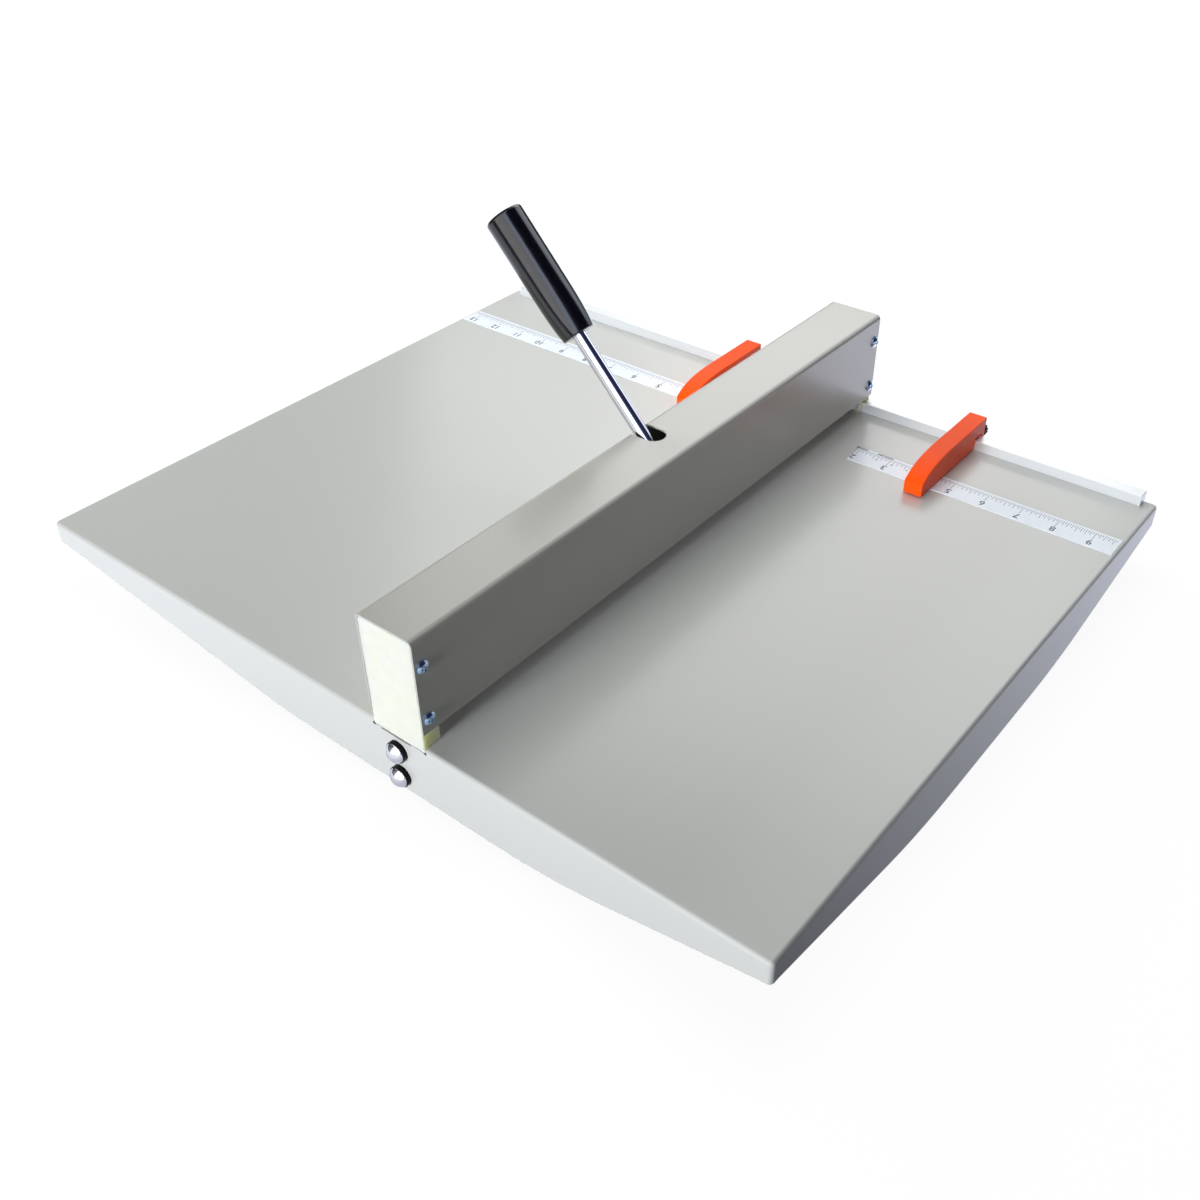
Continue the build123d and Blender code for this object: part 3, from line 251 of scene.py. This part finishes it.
def plated(name, colour, roughness, tint, tint_size=4 * MM):
    """Plated metal whose colour drifts a little towards a tint."""
    material, tree, shader = new_material(name, Metallic=1.0)
    drift = ranged(tree, noise(tree, tint_size, detail=3.0), 0, 1)
    haze = noise(tree, 1.2 * MM, detail=4.0)
    feed(
        tree,
        shader,
        Base_Color=mixed(tree, drift, colour, tint),
        Roughness=ranged(tree, haze, roughness * 0.8, roughness * 1.25),
        Normal=bump(tree, haze, 1.2 * MICRON),
    )
    return material


def lined_metal(name, colour, roughness, stretch, line=0.25 * MM):
    """Metal with fine lines from drawing, grinding or extruding it along one axis."""
    material, tree, shader = new_material(name, Metallic=1.0)
    lines = noise(tree, line, detail=3.0, stretch=stretch)
    cloud = ranged(tree, noise(tree, 20 * MM, detail=2.0), 0, 1)
    feed(
        tree,
        shader,
        Base_Color=mixed(tree, cloud, shaded(colour, 0.93), shaded(colour, 1.04)),
        Roughness=ranged(tree, lines, roughness * 0.8, roughness * 1.3),
        Normal=bump(tree, lines, 3 * MICRON),
    )
    return material


def moulded(name, colour, roughness, grain, depth, **values):
    """Moulded plastic or rubber with a fine grain."""
    material, tree, shader = new_material(name, **values)
    pits = noise(tree, grain, detail=3.0)
    cloud = ranged(tree, noise(tree, 10 * MM, detail=3.0), 0, 1)
    feed(
        tree,
        shader,
        Base_Color=mixed(tree, cloud, shaded(colour, 0.9), shaded(colour, 1.1)),
        Roughness=ranged(tree, cloud, roughness * 0.85, roughness * 1.2),
        Normal=bump(tree, pits, depth),
    )
    return material


def gloss_grip():
    """Polished black grip with the slight waves of its moulding and a trace of dust."""
    black = srgb(6, 6, 9)
    material, tree, shader = new_material("gloss_black", IOR=1.7)
    dust = ranged(tree, noise(tree, 1.2 * MM, detail=4.0), 0, 1, 0.62, 0.80)
    wave = bump(tree, noise(tree, 12 * MM), 60 * MICRON)
    feed(
        tree,
        shader,
        Base_Color=mixed(tree, dust, black, srgb(52, 50, 48)),
        Roughness=ranged(tree, noise(tree, 6 * MM, detail=3.0), 0.10, 0.17),
        Normal=bump(tree, noise(tree, 0.6 * MM), 1.5 * MICRON, wave),
    )
    return material


def orange_paint():
    """Satin orange paint with a light orange peel and a little cloudiness."""
    orange = srgb(252, 80, 10)
    material, tree, shader = new_material("orange_paint", Specular_IOR_Level=0.2)
    cloud = ranged(tree, noise(tree, 20 * MM, detail=2.0), 0, 1)
    speck = ranged(tree, noise(tree, 0.5 * MM, detail=3.0), 0, 1)
    base = mixed(tree, cloud, shaded(orange, 0.95), shaded(orange, 1.04))
    feed(
        tree,
        shader,
        Base_Color=mixed(tree, speck, base, shaded(orange, 1.06)),
        Roughness=ranged(tree, noise(tree, 4 * MM, detail=3.0), 0.38, 0.44),
        Normal=bump(tree, noise(tree, 2 * MM), 5 * MICRON),
    )
    return material


def fence_finish():
    """Bright satin finish of the fence strips, partly metallic, with faint lines along them."""
    pale = srgb(234, 238, 239)
    material, tree, shader = new_material("satin_fence", Metallic=0.5)
    cloud = ranged(tree, noise(tree, 30 * MM, detail=3.0, stretch=(4.0, 1.0, 1.0)), 0, 1)
    lines = noise(tree, 0.3 * MM, detail=2.0, stretch=(40.0, 1.0, 1.0))
    feed(
        tree,
        shader,
        Base_Color=mixed(tree, cloud, shaded(pale, 0.97), shaded(pale, 1.02)),
        Roughness=ranged(tree, lines, 0.30, 0.36),
        Normal=bump(tree, lines, 2 * MICRON),
    )
    return material


def rule_plate():
    """Cool white printed plate of the rules, with fine handling marks."""
    white = srgb(232, 240, 248)
    material, tree, shader = new_material("rule_plate", Coat_Weight=0.3, Coat_Roughness=0.1)
    cloud = ranged(tree, noise(tree, 15 * MM, detail=3.0), 0, 1)
    rubs = noise(tree, 0.3 * MM, detail=2.0, stretch=(25.0, 1.0, 1.0))
    feed(
        tree,
        shader,
        Base_Color=mixed(tree, cloud, shaded(white, 0.97), white),
        Roughness=ranged(tree, rubs, 0.26, 0.36),
        Normal=bump(tree, rubs, 2 * MICRON),
    )
    return material


def printed_ink():
    """Dark printing ink, a little uneven."""
    ink = srgb(48, 52, 72)
    material, tree, shader = new_material("printing_ink", Roughness=0.45)
    patch = ranged(tree, noise(tree, 0.6 * MM, detail=3.0), 0, 1)
    feed(tree, shader, Base_Color=mixed(tree, patch, ink, srgb(70, 74, 94)))
    return material


def make_materials():
    """Every material by the name of the record's slot, and the ink."""
    steel = srgb(168, 170, 172)
    bar = (1.0, 40.0, 1.0)
    return {
        "table_paint": powder_coat("table_enamel", srgb(190, 192, 188), 0.8),
        "cover_paint": powder_coat("cover_enamel", srgb(168, 168, 160), 1.0),
        "nylon": cast_nylon(),
        "zinc": plated("blue_zinc", srgb(168, 204, 234), 0.20, srgb(206, 220, 226)),
        "chrome": plated("polished_chrome", srgb(240, 241, 245), 0.05, srgb(230, 231, 240), 20 * MM),
        "black_plastic": moulded(
            "black_plastic", srgb(6, 6, 11), 0.46, 0.5 * MM, 10 * MICRON, Specular_IOR_Level=0.15
        ),
        "aluminium": lined_metal("extruded_aluminium", srgb(205, 207, 209), 0.34, bar),
        "steel": lined_metal("ground_steel", steel, 0.28, bar),
        "spring_steel": lined_metal("spring_wire", srgb(150, 152, 156), 0.25, (1.0, 1.0, 6.0)),
        "black_steel": moulded("black_oxide_steel", srgb(38, 38, 41), 0.36, 0.7 * MM, 8 * MICRON),
        "grip_plastic": gloss_grip(),
        "orange_plastic": orange_paint(),
        "rubber": moulded("black_rubber", srgb(30, 30, 31), 0.75, 0.6 * MM, 20 * MICRON),
        "white_paint": fence_finish(),
        "rule_plate": rule_plate(),
        "ink": printed_ink(),
    }


def dress(materials):
    """Give every node of the frame the material of its slot."""
    slots = {part["node"]: part["material_slot"] for part in frame["record"]["subparts"]}
    for name, piece in frame["nodes"].items():
        piece.data.materials.clear()
        piece.data.materials.append(materials[slots[name]])


# ---- Marks on the rules
def bar_solid(mesh, low, high):
    """A thin closed box from its lowest to its highest corner."""
    size = [high[i] - low[i] for i in range(3)]
    made = bmesh.ops.create_cube(mesh, size=1.0)
    for vertex in made["verts"]:
        vertex.co = Vector(low[i] + (vertex.co[i] + 0.5) * size[i] for i in range(3))


def numeral_solid(mesh, text, centre, height, weight):
    """A number printed so that it reads upright from the fence side."""
    curve = bpy.data.curves.new("numeral", "FONT")
    curve.body = text
    curve.size = height * FONT_SIZE
    curve.align_x = "CENTER"
    curve.align_y = "CENTER"
    curve.extrude = INK_THICKNESS / 2
    curve.offset = weight
    curve.resolution_u = FONT_STEPS
    letter = bpy.data.objects.new("numeral", curve)
    bpy.context.scene.collection.objects.link(letter)
    letter.location = centre
    letter.rotation_euler = (0, 0, math.pi)
    bpy.context.view_layer.update()
    shape = bpy.data.meshes.new_from_object(letter.evaluated_get(bpy.context.evaluated_depsgraph_get()))
    shape.transform(letter.matrix_world)
    mesh.from_mesh(shape)
    bpy.data.objects.remove(letter)
    bpy.data.curves.remove(curve)
    bpy.data.meshes.remove(shape)


def print_rule(name, side, ink):
    """Ticks and numbers of one rule, in inches from its zero near the crease line."""
    low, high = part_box(name)
    base = high.z
    top = base + INK_THICKNESS
    edge = high.y - TICK_INSET
    zero = RULE_ZERO[name]
    reach = [abs(corner.x - zero) for corner in (low, high)]
    sixteenth = INCH / 16
    half = TICK_WIDTH / 2
    mesh = bmesh.new()
    first = math.ceil((min(reach) + TICK_END_GAP) / sixteenth)
    last = math.floor((max(reach) - TICK_END_GAP) / sixteenth)
    for i in range(first, last + 1):
        x = zero + side * i * sixteenth
        length = next(length for step, length in TICK_LENGTHS if i % step == 0)
        bar_solid(mesh, (x - half, edge - length, base), (x + half, edge, top))
        if i % 16 == 0:
            centre = (x, low.y + NUMERAL_INSET, base + INK_THICKNESS / 2)
            numeral_solid(mesh, str(i // 16), centre, NUMERAL_HEIGHT, NUMERAL_WEIGHT)
    print_fine_scale(mesh, zero, side, edge, base)
    shape = bpy.data.meshes.new(name + "_marks")
    bmesh.ops.recalc_face_normals(mesh, faces=mesh.faces)
    mesh.to_mesh(shape)
    mesh.free()
    shape.materials.append(ink)
    marks = bpy.data.objects.new(name + "_marks", shape)
    bpy.context.scene.collection.objects.link(marks)
    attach(marks, "base")


def print_fine_scale(mesh, zero, side, edge, base):
    """Two short scales of sixty-fourths beside the first numbers, with small numbers."""
    top = base + INK_THICKNESS
    low, high = (edge + end for end in FINE_TICK_ENDS)
    half = FINE_TICK_WIDTH / 2
    for start, count in FINE_SCALES:
        for i in range(count):
            x = zero + side * (start * INCH + i * FINE_STEP)
            bar_solid(mesh, (x - half, low, base), (x + half, high, top))
    for start, text in SMALL_NUMERALS:
        centre = (zero + side * start * INCH, edge - SMALL_NUMERAL_INSET, base + INK_THICKNESS / 2)
        numeral_solid(mesh, text, centre, SMALL_NUMERAL_HEIGHT, 0.0)


# ---- Stage: floor, background, lights and camera
def across(tree, place, axis, ends):
    """A share that grows from 0 to 1 between two places on one axis of the floor."""
    value = add(tree, "ShaderNodeSeparateXYZ", {"Vector": place}).outputs[axis]
    return ranged(tree, value, 0, 1, *ends)


def mirrored_floor(tree, place, reach):
    """What gloss and metal see of the floor: bright behind, darker at the right and far off."""
    right = across(tree, place, "X", LEFT_TO_RIGHT)
    behind = across(tree, place, "Y", FRONT_TO_BEHIND)
    ahead = across(tree, place, "Y", TABLE_TO_AHEAD)
    far = ranged(tree, reach, 0, 1, *NEAR_TO_FAR)
    beside = mixed(tree, right, FLOOR_LEFT, FLOOR_RIGHT)
    near = mixed(tree, ahead, mixed(tree, behind, beside, FLOOR_BEHIND), FLOOR_AHEAD)
    return mixed(tree, far, near, FLOOR_FAR)


def floor_material():
    """White to the camera with a soft shadow, and duller for gloss, metal and stray light."""
    material = bpy.data.materials.new("pale_floor")
    material.use_nodes = True
    tree = material.node_tree
    tree.nodes.clear()
    path = add(tree, "ShaderNodeLightPath").outputs
    to_camera, to_gloss = path["Is Camera Ray"], path["Is Glossy Ray"]
    place = add(tree, "ShaderNodeTexCoord").outputs["Object"]
    reach = add(tree, "ShaderNodeVectorMath", {0: place}, operation="LENGTH").outputs["Value"]
    dull = mixed(tree, across(tree, place, "X", LEFT_TO_RIGHT), FLOOR_GREY, FLOOR_DARK)
    matte = add(tree, "ShaderNodeBsdfDiffuse", {"Color": mixed(tree, to_camera, dull, FLOOR_PALE)})
    white = mixed(tree, ranged(tree, reach, 0, 1, *WHITE_TO_HORIZON), FLOOR_WHITE, FLOOR_HORIZON)
    light = mixed(tree, to_camera, mirrored_floor(tree, place, reach), white)
    glow = add(tree, "ShaderNodeEmission", {"Color": light, "Strength": 1.0})
    seen = add(tree, "ShaderNodeMath", {0: to_camera, 1: to_gloss}, operation="MAXIMUM")
    share = add(tree, "ShaderNodeMath", {0: seen.outputs[0], 1: FLOOR_GLOW}, operation="MULTIPLY")
    mix = add(tree, "ShaderNodeMixShader", {0: share.outputs[0], 1: matte.outputs[0], 2: glow.outputs[0]})
    add(tree, "ShaderNodeOutputMaterial", {"Surface": mix.outputs[0]})
    return material


def make_floor():
    """One wide square under the object."""
    corners = ((-1, -1), (1, -1), (1, 1), (-1, 1))
    ring = [(x * FLOOR_HALF, y * FLOOR_HALF, FLOOR_TOP) for x, y in corners]
    mesh = bpy.data.meshes.new("floor")
    mesh.from_pydata(ring, [], [(0, 1, 2, 3)])
    floor = bpy.data.objects.new("floor", mesh)
    bpy.context.scene.collection.objects.link(floor)
    mesh.materials.append(floor_material())


def lit_from(tree, light, share, colour):
    """This light and, by its share, one more colour."""
    more = add(tree, "ShaderNodeVectorMath", {0: colour, "Scale": share}, operation="SCALE").outputs[0]
    return add(tree, "ShaderNodeVectorMath", {0: light, 1: more}, operation="ADD").outputs[0]


def wall_share(tree, way, facing):
    """1 straight at one wall of the room, fading smoothly into its neighbours."""
    towards = add(tree, "ShaderNodeVectorMath", {0: way, 1: facing}, operation="DOT_PRODUCT")
    ahead = add(tree, "ShaderNodeMath", {0: towards.outputs["Value"], 1: 0.0}, operation="MAXIMUM")
    return add(tree, "ShaderNodeMath", {0: ahead.outputs[0], 1: WALL_FOCUS}, operation="POWER").outputs[0]


def window_share(tree, level_way, azimuth, half_width):
    """1 within a tall window at this azimuth and 0 beyond its soft edges."""
    turn = math.radians(azimuth)
    facing = (math.cos(turn), math.sin(turn), 0.0)
    towards = add(tree, "ShaderNodeVectorMath", {0: level_way, 1: facing}, operation="DOT_PRODUCT")
    edges = [math.cos(math.radians(half_width + fade)) for fade in (WINDOW_FADE, -WINDOW_FADE)]
    return ranged(tree, towards.outputs["Value"], 0, 1, *edges)


def make_world():
    """White background, a room that only gloss and metal mirror, and a dim even fill."""
    world = bpy.data.worlds.new("studio")
    bpy.context.scene.world = world
    world.use_nodes = True
    tree = world.node_tree
    tree.nodes.clear()
    way = add(tree, "ShaderNodeTexCoord").outputs["Generated"]
    flat = add(tree, "ShaderNodeVectorMath", {0: way, 1: (1.0, 1.0, 0.0)}, operation="MULTIPLY")
    level_way = add(tree, "ShaderNodeVectorMath", {0: flat.outputs[0]}, operation="NORMALIZE").outputs[0]
    room = add(tree, "ShaderNodeCombineXYZ").outputs[0]
    for facing, colour in ROOM_WALLS:
        room = lit_from(tree, room, wall_share(tree, way, facing), colour)
    for azimuth, half_width, colour in ROOM_WINDOWS:
        room = lit_from(tree, room, window_share(tree, level_way, azimuth, half_width), colour)
    path = add(tree, "ShaderNodeLightPath").outputs
    unseen = mixed(tree, path["Is Glossy Ray"], ROOM_FILL, room)
    shown = mixed(tree, path["Is Camera Ray"], unseen, (*WHITE, 1.0))
    back = add(tree, "ShaderNodeBackground", {"Color": shown, "Strength": 1.0})
    add(tree, "ShaderNodeOutputWorld", {"Surface": back.outputs[0]})


def softbox(name, place, target, width, height, radiance, colour, kind):
    """Rectangular lamp of this radiance, where 1 would show as white."""
    lamp = bpy.data.lights.new(name, "AREA")
    lamp.shape = "RECTANGLE"
    lamp.size = width
    lamp.size_y = height
    lamp.energy = radiance * math.pi * width * height
    lamp.color = colour
    holder = bpy.data.objects.new(name, lamp)
    bpy.context.scene.collection.objects.link(holder)
    holder.location = place
    holder.rotation_euler = (Vector(target) - Vector(place)).to_track_quat("-Z", "Y").to_euler()
    holder.visible_camera = False
    holder.visible_glossy = kind == MIRRORED
    holder.visible_diffuse = kind == SOFT


def make_lights():
    """Every lamp of the list, aimed at the object."""
    for name, place, *rest in LAMPS:
        softbox(name, place, LAMP_TARGET, *rest)


def make_camera():
    """The camera of the main view."""
    lens = bpy.data.cameras.new("camera")
    lens.lens = CAMERA_LENS
    lens.sensor_width = CAMERA_SENSOR
    lens.clip_start, lens.clip_end = CAMERA_REACH
    camera = bpy.data.objects.new("camera", lens)
    bpy.context.scene.collection.objects.link(camera)
    camera.location = CAMERA_PLACE
    camera.rotation_euler = [math.radians(turn) for turn in CAMERA_TURN]
    bpy.context.scene.camera = camera


# ---- The scene
make_camera()
make_world()
make_lights()
make_floor()
materials = make_materials()
dress(materials)
print_rule("ruler_left", -1, materials["ink"])
print_rule("ruler_right", 1, materials["ink"])
bpy.context.scene.view_settings.view_transform = "Standard"
